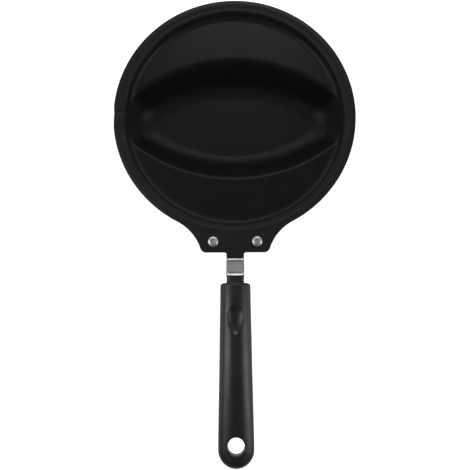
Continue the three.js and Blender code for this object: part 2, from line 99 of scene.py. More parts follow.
# The same corners moved to the right of the way they run; a bend to the left grows, one to the right shrinks
def offsetCorners(corners, distance):
    spots = np.array([corner[:2] for corner in corners], float)
    runs = unit(np.diff(spots, axis=0))
    before, after = np.vstack([runs[:1], runs]), np.vstack([runs, runs[-1:]])
    turn = np.arctan2(before[:, 0] * after[:, 1] - before[:, 1] * after[:, 0], (before * after).sum(1))
    middle = unit(before + after)
    moved = spots + np.stack([middle[:, 1], -middle[:, 0]], 1) * (distance / np.cos(turn / 2))[:, None]
    radii = np.array([corner[2] for corner in corners], float)
    radii = np.where(radii > 0, np.maximum(radii + np.sign(turn) * distance, 0), 0)
    return [(*spot, radius) for spot, radius in zip(moved, radii)]


# Smooth curve through a table's rows: a cubic between each two, with slopes from their neighbours
def smoothTable(table, column, at):
    xs, ys = np.array(table, float)[:, [0, column]].T
    slopes = np.gradient(ys, xs)
    k = np.clip(np.searchsorted(xs, at, side="right") - 1, 0, len(xs) - 2)
    span = xs[k + 1] - xs[k]
    t = (at - xs[k]) / span
    return ((2 * t ** 3 - 3 * t ** 2 + 1) * ys[k] + (t ** 3 - 2 * t ** 2 + t) * span * slopes[k]
            + (3 * t ** 2 - 2 * t ** 3) * ys[k + 1] + (t ** 3 - t ** 2) * span * slopes[k + 1])


# Corner numbers of the quads of a grid of rows by columns; the last column joins the first if it is closed
def gridQuads(rows, columns, first=0, closed=False):
    number = first + np.arange(rows * columns).reshape(rows, columns)
    if closed:
        number = np.hstack([number, number[:, :1]])
    return np.stack([number[:-1, :-1], number[1:, :-1], number[1:, 1:], number[:-1, 1:]], -1).reshape(-1, 4)


# Points that share a place to a ten-thousandth of a millimetre become one; a quad left with three corners
# is a triangle, and with two it goes
def weld(points, quads):
    _, first, same = np.unique(np.round(points * 1e4).astype(np.int64), axis=0,
                               return_index=True, return_inverse=True)
    quads = same.reshape(-1)[quads]
    meets = quads == np.roll(quads, -1, axis=1)
    single = meets.sum(1) == 1
    keep = np.array([[1, 2, 3], [0, 2, 3], [0, 1, 3], [0, 1, 2]])[meets[single].argmax(1)]
    triangles = np.take_along_axis(quads[single], keep, 1)
    return points[first], quads[~meets.any(1)], triangles


# New object at the origin from points in millimetres, with faces that meet past the sharp angle kept crisp
def newPiece(name, points, quads, material, sharpDegrees=38):
    points, quads, triangles = weld(points, quads)
    corners = np.concatenate([quads.ravel(), triangles.ravel()]).astype(np.int32)
    starts = np.concatenate([np.arange(len(quads)) * 4, len(quads) * 4 + np.arange(len(triangles)) * 3])
    mesh = bpy.data.meshes.new(name)
    mesh.vertices.add(len(points))
    mesh.vertices.foreach_set("co", (points * mm).astype(np.float32).ravel())
    mesh.loops.add(len(corners))
    mesh.loops.foreach_set("vertex_index", corners)
    mesh.polygons.add(len(starts))
    mesh.polygons.foreach_set("loop_start", starts.astype(np.int32))
    mesh.update(calc_edges=True)
    mesh.validate()
    mesh.shade_smooth()
    mesh.set_sharp_from_angle(angle=np.radians(sharpDegrees))
    mesh.materials.append(material)
    piece = bpy.data.objects.new(name, mesh)
    bpy.context.scene.collection.objects.link(piece)
    print(f"{name}: {len(quads) * 2 + len(triangles)} triangles before modifiers")
    return piece


# A piece takes its place on the body and stands for CAD nodes, which it hides
def fit(piece, slot, *stoodFor):
    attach(piece, "root")
    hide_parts(*stoodFor)
    return piece


# A node's inputs: an output is linked, a node stands for its first output, and the rest are values
def setInputs(tree, node, inputs):
    for name, value in inputs.items():
        if isinstance(value, bpy.types.Node):
            value = value.outputs[0]
        if isinstance(value, bpy.types.NodeSocket):
            tree.links.new(value, node.inputs[name])
        else:
            node.inputs[name].default_value = value


# One new node with its settings and its inputs
def addNode(tree, kind, inputs, **settings):
    node = tree.nodes.new("ShaderNode" + kind)
    for name, value in settings.items():
        setattr(node, name, value)
    setInputs(tree, node, inputs)
    return node


# Material with its tree, its principled shader and its Object coordinates
def newMaterial(name):
    material = bpy.data.materials.new(name)
    material.use_nodes = True
    tree = material.node_tree
    place = addNode(tree, "TexCoord", {}).outputs["Object"]
    return material, tree, tree.nodes["Principled BSDF"], place


# A noise texture's values lie mostly between these two
noiseLow, noiseHigh = 0.3, 0.7

# Non-stick coating: a black fluoropolymer sprayed on blasted aluminium and baked.
# It gives a soft charcoal satin, a fine pebbled grain and faint clouds where the spray lay thicker.
coating = dict(
    colour=0x141415,
    cloudColour=0x171718,
    rimColour=0x222223,  # painted light: wall and rim a little lighter, for the light they catch
    rimStart=101,        # mm from the middle
    rimFull=105,
    wallReach=7,         # mm by which that painted light comes further in at the foot of the well's end walls
    wallFoot=2.5,        # mm above the table
    wallHead=28,
    tabColour=0x252526,  # painted light: the tab a little lighter, for the light it reflects
    tabStart=117.5,
    tabFull=120,
    roughness=0.37,
    wellRoughness=0.43,  # the spray lies drier down in the well
    wellDry=8,           # mm above the table, where it is driest
    wellEven=26,         # and where it is as on the plate
    roughnessSpread=0.03,
    ior=1.35,
    shine=0.3,           # the pebbled face scatters part of the gloss
    grain=0.45,          # mm, one pebble of the baked spray
    grainDepth=0.006,    # mm
    cloud=16,            # mm, one thicker patch
)


def nonStickCoating():
    material, tree, shader, place = newMaterial("sprayed_nonstick_coating")
    clouds = addNode(tree, "TexNoise", {"Vector": place, "Scale": 1 / (coating["cloud"] * mm), "Detail": 3})
    grain = addNode(tree, "TexNoise", {"Vector": place, "Scale": 1 / (coating["grain"] * mm), "Detail": 2})
    colour = addNode(tree, "Mix", {0: clouds, 6: linearColour(coating["colour"]),
                                   7: linearColour(coating["cloudColour"])}, data_type="RGBA")
    level = addNode(tree, "Mapping", {"Vector": place, "Scale": (1, 1, 0)})
    radius = addNode(tree, "VectorMath", {0: level}, operation="LENGTH").outputs["Value"]
    height = addNode(tree, "SeparateXYZ", {0: place}).outputs["Z"]
    # Painted light: wall, rim and tab are mixed towards lighter colours, reaching further in low on the
    # well's end walls
    reach = addNode(tree, "MapRange", {0: height, 1: coating["wallFoot"] * mm, 2: coating["wallHead"] * mm,
                                       3: coating["wallReach"] * mm, 4: 0.0})
    radius = addNode(tree, "Math", {0: radius, 1: reach}, operation="ADD")
    for zone in ("rim", "tab"):
        inZone = addNode(tree, "MapRange", {0: radius, 1: coating[zone + "Start"] * mm,
                                            2: coating[zone + "Full"] * mm})
        colour = addNode(tree, "Mix", {0: inZone, 6: colour.outputs[2],
                                       7: linearColour(coating[zone + "Colour"])}, data_type="RGBA")
    spread = coating["roughnessSpread"]
    rough = addNode(tree, "MapRange", {0: height, 1: coating["wellDry"] * mm, 2: coating["wellEven"] * mm,
                                       3: coating["wellRoughness"], 4: coating["roughness"]})
    change = addNode(tree, "MapRange", {0: clouds, 1: noiseLow, 2: noiseHigh, 3: -spread, 4: spread})
    rough = addNode(tree, "Math", {0: rough, 1: change}, operation="ADD")
    bump = addNode(tree, "Bump", {"Height": grain, "Distance": coating["grainDepth"] * mm})
    setInputs(tree, shader, {"Base Color": colour.outputs[2], "Roughness": rough, "Normal": bump,
                             "IOR": coating["ior"], "Specular IOR Level": coating["shine"]})
    return material


# Phenolic resin, pressed in a polished steel mould and tumbled: a dense black with a broad satin gloss
# and a very slight ripple from the mould.
phenolic = dict(
    colour=0x1f1f20,
    dustColour=0x242425,
    roughness=0.33,
    roughnessSpread=0.04,
    ior=1.5,
    grain=0.35,        # mm, left by the tumbling
    grainDepth=0.006,  # mm
    ripple=9,          # mm, left by the mould
    rippleDepth=0.02,  # mm
)


def mouldedPhenolic():
    material, tree, shader, place = newMaterial("moulded_phenolic")
    ripple = addNode(tree, "TexNoise", {"Vector": place, "Scale": 1 / (phenolic["ripple"] * mm), "Detail": 1})
    grain = addNode(tree, "TexNoise", {"Vector": place, "Scale": 1 / (phenolic["grain"] * mm), "Detail": 2})
    colour = addNode(tree, "Mix", {0: grain, 6: linearColour(phenolic["colour"]),
                                   7: linearColour(phenolic["dustColour"])}, data_type="RGBA")
    middle, spread = phenolic["roughness"], phenolic["roughnessSpread"]
    rough = addNode(tree, "MapRange", {0: ripple, 1: noiseLow, 2: noiseHigh, 3: middle - spread,
                                       4: middle + spread})
    wide = addNode(tree, "Bump", {"Height": ripple, "Distance": phenolic["rippleDepth"] * mm})
    fine = addNode(tree, "Bump", {"Height": grain, "Distance": phenolic["grainDepth"] * mm, "Normal": wide})
    setInputs(tree, shader, {"Base Color": colour.outputs[2], "Roughness": rough, "Normal": fine,
                             "IOR": phenolic["ior"]})
    return material


# A worked metal: lines or pits from noise stretched along X, Y or Z, over a metallic base. The real marks are
# about a tenth of a millimetre wide, too fine to show, so they are drawn a few times as coarse.
def workedMetal(name, look):
    material, tree, shader, place = newMaterial(name)
    stretched = addNode(tree, "Mapping", {"Vector": place, "Scale": look["stretch"]})
    marks = addNode(tree, "TexNoise", {"Vector": stretched, "Scale": 1 / (look["mark"] * mm), "Detail": 3})
    stains = addNode(tree, "TexNoise", {"Vector": place, "Scale": 1 / (look["stain"] * mm), "Detail": 2})
    colour = addNode(tree, "Mix", {0: stains, 6: linearColour(look["colour"]),
                                   7: linearColour(look["stainColour"])}, data_type="RGBA")
    middle, spread = look["roughness"], look["roughnessSpread"]
    rough = addNode(tree, "MapRange", {0: marks, 1: noiseLow, 2: noiseHigh, 3: middle - spread,
                                       4: middle + spread})
    bump = addNode(tree, "Bump", {"Height": marks, "Distance": look["markDepth"] * mm})
    setInputs(tree, shader, {"Base Color": colour.outputs[2], "Roughness": rough, "Normal": bump,
                             "Metallic": 1.0})
    return material


# Stainless strip, belt-brushed across its width before it was folded: fine lines that blur reflections
brushedStainless = dict(colour=0xbdbbb8, stainColour=0xb0aeab, roughness=0.3, roughnessSpread=0.06,
                        stretch=(0.04, 1, 1), mark=0.5, markDepth=0.004, stain=7)

# Aluminium wire, headed cold by a blasted tool: a frosted, faintly mottled silver
headedAluminium = dict(colour=0xced0d1, stainColour=0xbcbdbe, roughness=0.39, roughnessSpread=0.08,
                       stretch=(1, 1, 1), mark=0.5, markDepth=0.02, stain=2)

# Bright zinc plating on a steel screw and washer: cool grey, slightly mottled
zincPlate = dict(colour=0xb7babc, stainColour=0xa9acb0, roughness=0.3, roughnessSpread=0.06,
                 stretch=(1, 1, 1), mark=0.4, markDepth=0.004, stain=1.5)

# Free-machining brass, turned: rings of tool marks across a warm yellow
turnedBrass = dict(colour=0xc29a4e, stainColour=0xb08a44, roughness=0.32, roughnessSpread=0.06,
                   stretch=(0.1, 0.1, 1), mark=0.25, markDepth=0.006, stain=2)

coatingMaterial = nonStickCoating()
phenolicMaterial = mouldedPhenolic()
stainlessMaterial = workedMetal("brushed_stainless", brushedStainless)
rivetMaterial = workedMetal("headed_aluminium", headedAluminium)
zincMaterial = workedMetal("zinc_plated_steel", zincPlate)
brassMaterial = workedMetal("turned_brass", turnedBrass)
print("materials made")

# Pressed pan: dish, flat rim with its groove, boat-shaped well, vent, tab and tongue, all one sheet
panLow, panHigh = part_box("pan_body")
pan = dict(
    rimRadius=panHigh.x / mm,
    rimTop=panHigh.z / mm,
    tongueEnd=-panLow.y / mm,
    sheet=2.5,
    rimEdge=0.7,
    rimWidth=10.7,
    wallShift=0.8,     # the press left the wall's circle this much nearer the handle
    wallLean=15,
    wallBend=1.8,
    dishDepth=9.5,
    cove=4.6,
    rimStep=0.5,       # the rim rises from the wall to a low crest, then falls to its edge
    stepStart=111.2,
    crestRadius=116.4,
    crestHeight=0.28,
    crestOverlap=1,    # the fall begins this much before the rise has ended
    grooveInset=4.8,
    grooveHalfWidth=0.9,
    grooveDepth=0.08,
    footHalfWidth=40.4,
    footFillet=21,
    mouthHalfWidth=60.3,
    mouthFillet=7,
    boatLevels=[       # half-width, half-length and tip radius, from the well's floor to its mouth
        [30, 78, 7],
        [45, 97.6, 24],
        [60.3, 114.6, 29],
    ],
    endFootRadius=99.3,
    endFillet=14,
    endBend=5.5,
    cornerBlend=5.5,   # rounding where the well's sides meet its end walls
    lipRunOut=6,       # width over which the well's lip fades into the dish wall
    ventHalfWidth=3.2,
    ventFlank=1.3,     # the steep flank away from the handle
    ventSlope=3.4,     # the long slope towards it
    ventDepth=0.9,
    ventOffset=2.4,
    ventStart=2.5,     # it begins this far inside the top of the wall
    ventFull=0.5,      # and has its depth this far inside it
    rimFlat=0.6,
    tabHalfWidth=30.9,
    tabSideRadius=47,
    tabCorner=6,
    tongueHalfWidth=8.3,
    tongueLength=4.6,
    tongueFillet=2.4,
    tongueCorner=0.6,
    tabSideStart=1.1,  # corner radii from the tab's end to where its hollow side begins
    tabSideSteps=24,
    outlineStep=2.2,
    ventStep=0.45,     # the outline is finer near the vent
    ventMargin=2,
    topRings=118,
    underRings=58,
    flatInset=1.05,    # the face is level from here to the rounded edge
    ringsInset=1.8,    # the rings end here
    turnStart=20,      # rays leave the middle evenly spread and turn to the outline past this radius
    raySteps=560,
    ringSpacing=2.6,   # where the face is flat
    bendSpacing=0.12,  # the smaller, the closer the rings are in a bend
)
plateTop = pan["rimTop"] - pan["dishDepth"]
wallTopRadius = pan["rimRadius"] - pan["rimWidth"]
grooveRadius = pan["rimRadius"] - pan["grooveInset"]
wallRun = np.tan(np.radians(pan["wallLean"]))
rimFoot = pan["rimTop"] - pan["rimStep"]
tabEnd = pan["tongueEnd"] - pan["tongueLength"]


# Dish height over radius: plate, cove and leaning wall, then the rim's smooth rise to its crest and its
# fall to the edge, less a fine groove, on a face offset below the top one
def dishHeight(radius, offset):
    corners = [
        (0, plateTop, 0),
        (wallTopRadius - pan["dishDepth"] * wallRun, plateTop, pan["cove"]),
        (wallTopRadius, rimFoot, pan["wallBend"]),
        (2 * pan["rimRadius"], rimFoot, 0),
    ]
    path = roundedPath(offsetCorners(corners, offset))
    rise = (pan["rimStep"] + pan["crestHeight"]) * smoothStep(pan["stepStart"], pan["crestRadius"], radius)
    fallStart = pan["crestRadius"] - pan["crestOverlap"]
    fall = pan["crestHeight"] * smoothStep(fallStart, pan["rimRadius"], radius)
    across = np.clip((radius - grooveRadius) / pan["grooveHalfWidth"], -1, 1)
    groove = pan["grooveDepth"] * (1 - across ** 2) ** 2
    return np.interp(radius, path[:, 0], path[:, 1]) + rise - fall - groove


# Signed distance to a boat outline of a half-width: two long side arcs and two tip arcs that meet tangent.
# Its length and its tip follow quadratic curves through the three levels.
def boatDistance(x, y, halfWidth):
    widths, lengths, tips = np.array(pan["boatLevels"]).T
    halfLength, tip = (np.polyval(np.polyfit(widths, sizes, 2), halfWidth) for sizes in (lengths, tips))
    tipCentre = halfLength - tip
    sideRadius = (tipCentre ** 2 + halfWidth ** 2 - tip ** 2) / (2 * (halfWidth - tip))
    drop = sideRadius - halfWidth
    x, y = np.abs(x), np.abs(y)
    onSide = tipCentre * (y + drop) > drop * x
    return np.where(onSide, np.hypot(x, y + drop) - sideRadius, np.hypot(x - tipCentre, y) - tip)


# Well height over x and y: the level whose boat outline and end-wall circle, met smoothly, pass the point.
# Halving the span between floor and lip 24 times finds it to well under a thousandth of a millimetre.
def wellHeight(x, y, offset):
    mouth, top = pan["mouthHalfWidth"], rimFoot - offset
    section = roundedPath(offsetCorners([
        (0, pan["sheet"], 0),
        (pan["footHalfWidth"], pan["sheet"], pan["footFillet"]),
        (mouth, plateTop, pan["mouthFillet"]),
        (mouth + 2 * pan["mouthFillet"], plateTop, 0),
    ], offset))[1:-1]
    fade = np.linspace(0, 1, 24)[1:, None]
    section = np.vstack([section, section[-1] + np.hstack([pan["lipRunOut"] * fade,
                                                           (top - section[-1, 1]) * fade ** 2])])
    bowl = roundedPath(offsetCorners([
        (0, pan["sheet"], 0),
        (pan["endFootRadius"], pan["sheet"], pan["endFillet"]),
        (wallTopRadius, rimFoot, pan["endBend"]),
        (pan["rimRadius"], rimFoot, 0),
    ], offset))[1:-1]
    radius = np.hypot(x, y + pan["wallShift"])
    level = np.linspace(0, 1, len(section))

    # How far a point lies outside a level's boat outline or its end-wall circle, whichever is more
    def outside(share):
        halfWidth, height = (np.interp(share, level, section[:, axis]) for axis in (0, 1))
        endWall = radius - np.interp(height, bowl[:, 1], bowl[:, 0])
        return smoothMax(boatDistance(x, y, halfWidth), endWall, pan["cornerBlend"])

    low, high = np.zeros_like(radius), np.ones_like(radius)
    for _ in range(24):
        middle = (low + high) / 2
        beyond = outside(middle) > 0
        low, high = np.where(beyond, middle, low), np.where(beyond, high, middle)
    height = np.interp(high, level, section[:, 1])
    return np.where(outside(np.ones_like(radius)) > 0, np.inf, height)


# Depth of the vent pressed across the rim on the left: a steep flank on its far side, a long one on its near
def ventTrough(x, y):
    v, half = y - pan["ventOffset"], pan["ventHalfWidth"]
    slope = smoothStep(-half, pan["ventSlope"] - half, v)
    flank = 1 - smoothStep(half - pan["ventFlank"], half, v)
    along = smoothStep(wallTopRadius - pan["ventStart"], wallTopRadius - pan["ventFull"], -x)
    return pan["ventDepth"] * slope * flank * along


# Height of the sheet's top face, or of its underside when offset by the sheet: the lower of dish and well,
# less the vent. The dish's radius runs from the wall's axis, and past the wall's top it turns to the rim's.
def sheetHeight(x, y, offset):
    fromRimAxis, fromWallAxis = np.hypot(x, y), np.hypot(x, y + pan["wallShift"])
    inside = 1 - smoothStep(wallTopRadius, grooveRadius, fromRimAxis)
    radius = fromRimAxis + (fromWallAxis - fromRimAxis) * inside
    return np.minimum(dishHeight(radius, offset), wellHeight(x, y, offset)) - ventTrough(x, y)


# Outline of rim, tab and tongue, anticlockwise from the tongue's middle, with its outward normals
def panOutline():
    side = pan["tabSideRadius"]
    centre = np.array([pan["tabHalfWidth"] + side, 0])
    centre[1] = -np.sqrt((pan["rimRadius"] + side) ** 2 - centre[0] ** 2)
    rimAngle = np.arctan2(-centre[1], -centre[0])
    endAngle = np.pi - np.arcsin((-tabEnd - centre[1]) / side)
    startAngle = endAngle - pan["tabSideStart"] * pan["tabCorner"] / side
    arc = np.linspace(startAngle, rimAngle, pan["tabSideSteps"])
    tabSide = centre + side * np.stack([np.cos(arc), np.sin(arc)], 1)
    tongue, tongueEnd = pan["tongueHalfWidth"], -pan["tongueEnd"]
    foot = roundedPath([
        (0, tongueEnd, 0),
        (tongue, tongueEnd, pan["tongueCorner"]),
        (tongue, -tabEnd, pan["tongueFillet"]),
        (centre[0] + side * np.cos(endAngle), -tabEnd, pan["tabCorner"]),
        (*tabSide[0], 0),
    ], stepDegrees=12)
    join = np.arctan2(tabSide[-1, 1], tabSide[-1, 0])
    steps = int((np.pi / 2 - join) * pan["rimRadius"] / pan["outlineStep"]) + 2
    around = np.linspace(join, np.pi / 2, steps)
    rim = pan["rimRadius"] * np.stack([np.cos(around), np.sin(around)], 1)
    right = np.concatenate([foot, tabSide[1:], rim[1:]])
    length = np.hypot(*np.diff(right, axis=0).T)
    nearVent = np.abs(right[:-1, 1] - pan["ventOffset"]) < pan["ventHalfWidth"] + pan["ventMargin"]
    nearVent &= right[:-1, 0] > grooveRadius
    parts = np.ceil(length / np.where(nearVent, pan["ventStep"], pan["outlineStep"])).astype(int)
    run = np.repeat(np.arange(len(parts)), parts)
    along = (np.arange(len(run)) - np.repeat(np.cumsum(parts) - parts, parts)) / parts[run]
    right = np.vstack([right[run] + (right[run + 1] - right[run]) * along[:, None], right[-1:]])
    right[-1, 0] = 0
    outline = np.vstack([right, right[-2:0:-1] * [-1, 1]])
    outline[:, 0] = np.maximum(outline[:, 0], pan["rimFlat"] - pan["rimRadius"])
    tangent = np.roll(outline, -1, axis=0) - np.roll(outline, 1, axis=0)
    return outline, unit(np.stack([tangent[:, 1], -tangent[:, 0]], 1))


# Rings of a face from its middle out to just inside the rim's edge. Each ray has its stations closer
# together where the face bends: the density is a constant plus the root of the bend's curvature, which
# is first averaged along the ray and over five neighbouring rays.
def faceRings(outline, count, offset):
    join = pan["rimRadius"] - pan["ringsInset"]
    outward = np.unwrap(np.arctan2(outline[:, 1], outline[:, 0]))[:, None]
    even = outward[0] + np.linspace(0, 2 * np.pi, len(outline), endpoint=False)[:, None]

    # The angle turns from the even spread to the outline's own between the turn's start and the join
    def onRays(radius):
        angle = even + (outward - even) * smoothStep(pan["turnStart"], join, radius)
        return radius * np.cos(angle), radius * np.sin(angle)

    fine = np.broadcast_to(np.linspace(0, join, pan["raySteps"]), (len(outline), pan["raySteps"]))
    height = sheetHeight(*onRays(fine), offset)
    rise, step = np.gradient(height, axis=1), fine[0, 1]
    length = np.hypot(rise, step)
    curvature = np.abs(np.gradient(np.arctan2(rise, step), axis=1)) / length
    window = np.hanning(9) / np.hanning(9).sum()
    curvature = sum(weight * np.roll(curvature, k, axis=1) for k, weight in enumerate(window, -4))
    curvature = sum(np.roll(curvature, k, axis=0) for k in range(-2, 3)) / 5
    density = length * (1 / pan["ringSpacing"] + np.sqrt(curvature / pan["bendSpacing"]))
    passed = np.cumsum(density, axis=1) - density[:, :1]
    passed = passed / passed[:, -1:]
    row = 2 * np.arange(len(outline))[:, None]
    wanted = np.linspace(0, 1, count)[None] + row
    radius = np.interp(wanted, (passed + row).ravel(), fine.ravel())
    radius[:, 0], radius[:, -1] = 0, join
    x, y = onRays(radius)
    return np.stack([x, y, sheetHeight(x, y, offset)], -1).swapaxes(0, 1)


# The shell: both faces' rings, joined round the outline by two rounded edges
def panShell():
    outline, normal = panOutline()
    edge, rim, sheet = pan["rimEdge"], pan["rimTop"], pan["sheet"]

    # The outline moved in along its normals and set to a height less the vent
    def ringAt(inset, height):
        spot = outline - normal * inset
        return np.column_stack([spot, height - ventTrough(spot[:, 0], spot[:, 1])])[None]

    top = faceRings(outline, pan["topRings"], 0)
    under = faceRings(outline, pan["underRings"], sheet)
    turns = [(edge * (1 - np.sin(t)), edge * (1 - np.cos(t))) for t in quarterTurn]
    topEdge = [ringAt(inset, rim - drop) for inset, drop in turns]
    underEdge = [ringAt(inset, rim - sheet + drop) for inset, drop in turns[::-1]]
    topLast, underLast = ringAt(pan["flatInset"], rim), ringAt(pan["flatInset"], rim - sheet)
    between = np.linspace(0, 1, 5)[1:-1, None, None]
    topFlat = top[-1:] + (topLast - top[-1:]) * between
    underFlat = underLast + (under[-1:] - underLast) * between
    rings = np.concatenate([top, topFlat, topLast, *topEdge, *underEdge, underLast, underFlat, under[::-1]])
    quads = gridQuads(len(rings), len(outline), closed=True)
    return newPiece("pan_shell", rings.reshape(-1, 3), quads, coatingMaterial)


fit(panShell(), "non_stick_aluminium", "pan_body")
print("pan made")


# Surface turned about an upright axis from a profile of (radius, height) points, top to bottom
def turned(profile, sides, centre):
    angle = np.linspace(0, 2 * np.pi, sides, endpoint=False)
    radius, height = profile[:, :1], profile[:, 1:]
    rings = np.stack([radius * np.cos(angle), radius * np.sin(angle), height + 0 * angle], -1)
    return rings + np.asarray(centre, float)


# Rivets: a low head with a dished middle above the tab, a plain shank and a spread tail below the bracket
rivet = dict(
    spacing=42.4,
    inset=10.4,      # from the tab's end
    head=[           # radius, height above the tab and rounding, from the middle out
        [0, 2.05, 0],
        [2.1, 2.05, 0.9],
        [2.6, 2.2, 2.2],
        [4.8, 1.6, 1.1],
        [5.2, 0.5, 0.4],
        [5.05, 0, 0.1],
    ],
    shankRadius=2.9,
    tailRadius=4.6,
    tailHeight=1.7,
    tailEdge=0.9,
    seatEdge=0.1,    # where the tail meets the bracket
    sides=72,
)
bracketSheet = 1.8
rivetDistance = tabEnd - rivet["inset"]


# The head's corners, the shank and the tail, rounded as one profile and turned
def rivetPiece(name, x):
    shank, tail = rivet["shankRadius"], rivet["tailRadius"]
    seat = -pan["sheet"] - bracketSheet
    end = seat - rivet["tailHeight"]
    profile = roundedPath([
        *rivet["head"],
        (shank, 0, 0),
        (shank, seat, 0),
        (tail, seat, rivet["seatEdge"]),
        (tail, end, rivet["tailEdge"]),
        (0, end, 0),
    ], stepDegrees=10)
    rings = turned(profile, rivet["sides"], (x, -rivetDistance, pan["rimTop"]))
    quads = gridQuads(len(rings), rivet["sides"], closed=True)
    return newPiece(name, rings.reshape(-1, 3), quads, rivetMaterial)


for name, side in (("left", -1), ("right", 1)):
    fit(rivetPiece(name + "_rivet", side * rivet["spacing"] / 2), "rivet_aluminium", "rivet_" + name)
print("rivets made")

# Bracket: one strip of stainless, a plate under the tab that narrows and folds into a channel strap,
# and a flat tang inside the grip
strap = dict(
    plateStart=118.3,
    plateHalfWidth=28,
    plateCorner=4,
    shoulderStart=130.6,
    shoulderEnd=133.2,
    foldStart=132.6,
    foldEnd=136.8,
    halfWidth=8.6,
    bendRadius=1.5,
    height=4.2,        # of the channel's sides
    rise=13,
    lead=1.8,          # past the tongue, then the climb's run and the landing before the neck
    run=13.7,
    landing=2.9,
    landingDip=0.75,   # the landing starts this much lower, and climbs to the neck
    footBend=11,
    headBend=12,
    slope=5,
    edge=0.3,
    edgeDegrees=50,    # edges sharper than this are rounded
    tangHalfWidth=5,
    tangLength=62,
    tangCorner=3,
    tangDrop=0.01,     # keeps the tang's points apart from the channel's
    tangRows=40,
    columns=65,
    step=0.45,
)
tabUnderside = pan["rimTop"] - pan["sheet"]
strapFoot = pan["tongueEnd"] + strap["lead"]
strapHead = strapFoot + strap["run"]
neckDistance = strapHead + strap["landing"]
slopeAngle = np.radians(strap["slope"])
strapTop = tabUnderside + strap["rise"]
neckTop = strapTop + strap["landing"] * np.tan(slopeAngle)
seatGap = 0.3


# Top face of a folded strip along a path of (distance, height): flat in the middle, and past the fold
# line it follows an arc of the bend radius through the fold angle, then runs straight
def foldedStrip(path, halfBlank, fold, bendRadius, foldLine):
    ahead = unit(np.gradient(path, axis=0))
    across = np.linspace(-1, 1, strap["columns"])[None] * halfBlank[:, None]
    beyond = np.maximum(np.abs(across) - foldLine, 0)
    fold = fold[:, None]
    bent = np.minimum(beyond / bendRadius, fold)
    straight = beyond - bent * bendRadius
    out = np.minimum(np.abs(across), foldLine) + bendRadius * np.sin(bent) + straight * np.cos(fold)
    down = bendRadius * (1 - np.cos(bent)) + straight * np.sin(fold)
    distance = path[:, :1] + down * ahead[:, 1:]
    height = path[:, 1:] - down * ahead[:, :1]
    return np.stack([np.sign(across) * out, -distance, height], -1)


# The same path with its points one even step apart
def resampled(path, step):
    passed = np.concatenate([[0], np.cumsum(np.hypot(*np.diff(path, axis=0).T))])
    at = np.linspace(0, passed[-1], int(passed[-1] / step) + 2)
    return np.stack([np.interp(at, passed, path[:, 0]), np.interp(at, passed, path[:, 1])], 1)


# The bracket: the channel strip and the flat tang, given their thickness and then their rounded edges
def strapPiece():
    plateFront = strap["plateStart"]
    path = resampled(roundedPath([
        (plateFront, tabUnderside, 0),
        (strapFoot, tabUnderside, strap["footBend"]),
        (strapHead, strapTop - strap["landingDip"], strap["headBend"]),
        (neckDistance - seatGap, neckTop - seatGap * np.tan(slopeAngle), 0),
    ]), strap["step"])
    bend = strap["bendRadius"]
    foldLine = strap["halfWidth"] - bend
    blank = foldLine + bend * np.pi / 2 + strap["height"] - bend
    shoulder = smoothStep(strap["shoulderStart"], strap["shoulderEnd"], path[:, 0])
    halfBlank = strap["plateHalfWidth"] - edgeInset(path[:, 0] - plateFront, strap["plateCorner"])
    halfBlank = halfBlank + (blank - halfBlank) * shoulder
    fold = np.pi / 2 * smoothStep(strap["foldStart"], strap["foldEnd"], path[:, 0])
    channel = foldedStrip(path, halfBlank, fold, bend, foldLine)

    along = np.linspace(0, strap["tangLength"] + seatGap, strap["tangRows"])
    tangPath = np.stack([neckDistance - seatGap + along * np.cos(slopeAngle),
                         path[-1, 1] - strap["tangDrop"] + along * np.sin(slopeAngle)], 1)
    halfTang = strap["tangHalfWidth"] - edgeInset(along[-1] - along, strap["tangCorner"])
    tang = foldedStrip(tangPath, halfTang, 0 * along, bend, strap["halfWidth"])

    points = np.concatenate([channel.reshape(-1, 3), tang.reshape(-1, 3)])
    quads = np.concatenate([gridQuads(len(channel), strap["columns"]),
                            gridQuads(len(tang), strap["columns"], first=channel.size // 3)])
    piece = newPiece("bracket_strap", points, quads, stainlessMaterial)
    wall = piece.modifiers.new("sheet", "SOLIDIFY")
    wall.thickness = bracketSheet * mm
    wall.offset = -1
    wall.use_even_offset = True
    edges = piece.modifiers.new("deburred edges", "BEVEL")
    edges.width = strap["edge"] * mm
    edges.segments = 2
    edges.limit_method = "ANGLE"
    edges.angle_limit = np.radians(strap["edgeDegrees"])
    return piece


fit(strapPiece(), "bracket_steel", "handle_bracket")
print("bracket made")

# Moulded grip, along its own axis from the neck's front face, with x to the right and z up
grip = dict(
    neckLength=7,
    neckHalfWidth=8.2,
    neckHalfHeight=5.6,
    neckEdge=0.35,
    neckFillet=0.8,
    neckPower=5,       # of the superellipse across it: 2 is round, and more is squarer
    length=163,
    halfWidth=16.1,
    height=21,
    frontRadius=2.4,
    endRadius=6,
    power=2.25,
    slotPower=14,
    thumbDistance=34,  # from the body's front to the middle of the thumb rest
    thumbLength=27.5,
    thumbHalfWidth=8.6,
    thumbDepth=2.4,
    thumbScoop=6,      # depth of the whole bowl that it is cut from
    thumbTaper=0.28,   # how much wider it is towards the pan
    thumbTaperEnds=(0.3, 2),
    thumbEdge=0.25,
    thumbMargin=2,
    hangInset=19.2,    # from the grip's end to the middle of the hole
    hangRadius=7.5,
    hangLip=1.4,
    screwDistance=14,
    boreRadius=4.7,
    boreLip=0.4,
    boreSeat=5.6,
    shankHole=2.3,
    shankTop=0.5,      # mm below the handle's axis
    slotEdge=0.5,      # a row this far inside each end keeps the slot's walls straight
    columns=112,
)

# How many rows the skin has along each stretch of the body
gripSteps = dict(front=7, bore=25, thumb=92, shaft=36, hang=49, tail=20, wall=12)

